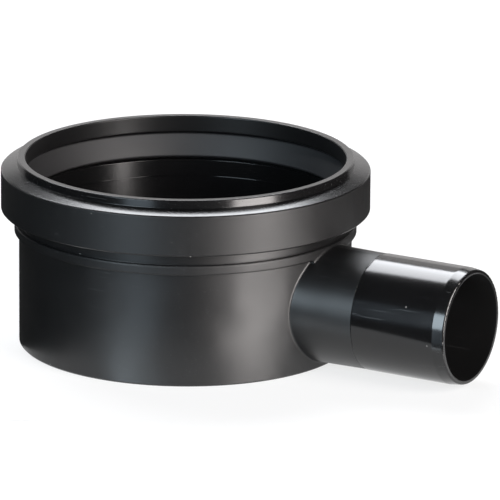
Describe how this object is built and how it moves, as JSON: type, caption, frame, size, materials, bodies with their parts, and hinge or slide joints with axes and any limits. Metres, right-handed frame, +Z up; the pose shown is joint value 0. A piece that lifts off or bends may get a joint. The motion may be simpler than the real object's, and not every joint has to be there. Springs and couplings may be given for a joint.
{
  "type": "gully trap",
  "caption": "Low round drain gully body with a ring-seal pipe socket on top, its rubber lip ring, and a level spigot outlet at the side.",
  "frame": {"origin": "centre of the base, on the socket's axis", "axes": "+Z up along the socket's axis, out of its mouth; +X along the outlet, out of its end"},
  "size_m": [0.1763, 0.1272, 0.0654],
  "materials": {
    "body": "black moulded polypropylene, satin outside, glossy on the spigot, the mouth lip and the inside",
    "seal": "matte dark grey moulded rubber"
  },
  "bodies": {
    "root": {"gully_body": "body", "socket_seal": "seal"}
  },
  "joints": []
}
